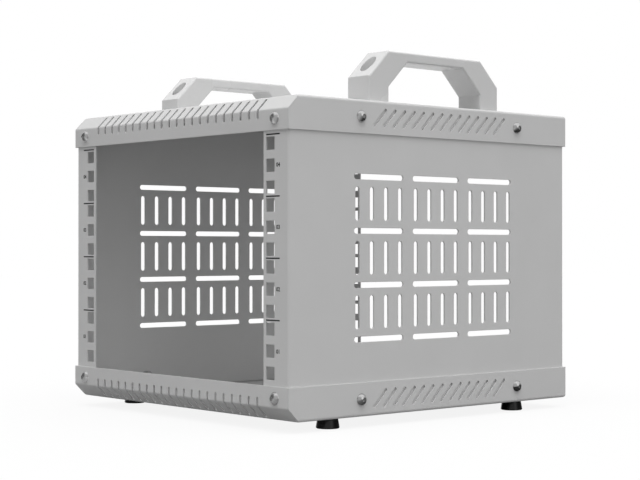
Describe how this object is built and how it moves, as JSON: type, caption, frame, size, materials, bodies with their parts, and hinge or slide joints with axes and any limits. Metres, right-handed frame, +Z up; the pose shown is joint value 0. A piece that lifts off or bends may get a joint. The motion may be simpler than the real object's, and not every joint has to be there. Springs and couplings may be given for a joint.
{
  "type": "open-frame rack",
  "caption": "Bench-top open-frame rack for ten inch equipment: folded steel covers, vented side panels with square-hole rails, carrying handles and rubber feet.",
  "frame": {"origin": "on the floor, under the middle of the frame's width and depth", "axes": "+Z up, +Y from the open front to the rear (the longest extent), +X to the right seen from the front"},
  "size_m": [0.2864, 0.3064, 0.2809],
  "materials": {
    "coated_steel": "light grey fine powder coat on sheet steel",
    "handle": "cast light alloy with the same light grey coat",
    "plated_steel": "bright nickel plating",
    "foot_rubber": "black matte rubber"
  },
  "bodies": {
    "root": {"top_cover": "coated_steel", "bottom_tray": "coated_steel", "left_side_panel": "coated_steel", "right_side_panel": "coated_steel", "left_handle": "handle", "right_handle": "handle", "front_left_foot": "foot_rubber", "front_right_foot": "foot_rubber", "rear_left_foot": "foot_rubber", "rear_right_foot": "foot_rubber", "front_screws": "plated_steel", "rear_screws": "plated_steel", "left_side_screws": "plated_steel", "right_side_screws": "plated_steel", "front_nuts": "plated_steel", "rear_nuts": "plated_steel", "left_side_nuts": "plated_steel", "right_side_nuts": "plated_steel", "left_handle_screws": "plated_steel", "right_handle_screws": "plated_steel", "left_handle_nuts": "plated_steel", "right_handle_nuts": "plated_steel", "foot_screws": "plated_steel", "foot_washers": "plated_steel", "foot_nuts": "plated_steel"}
  },
  "joints": []
}
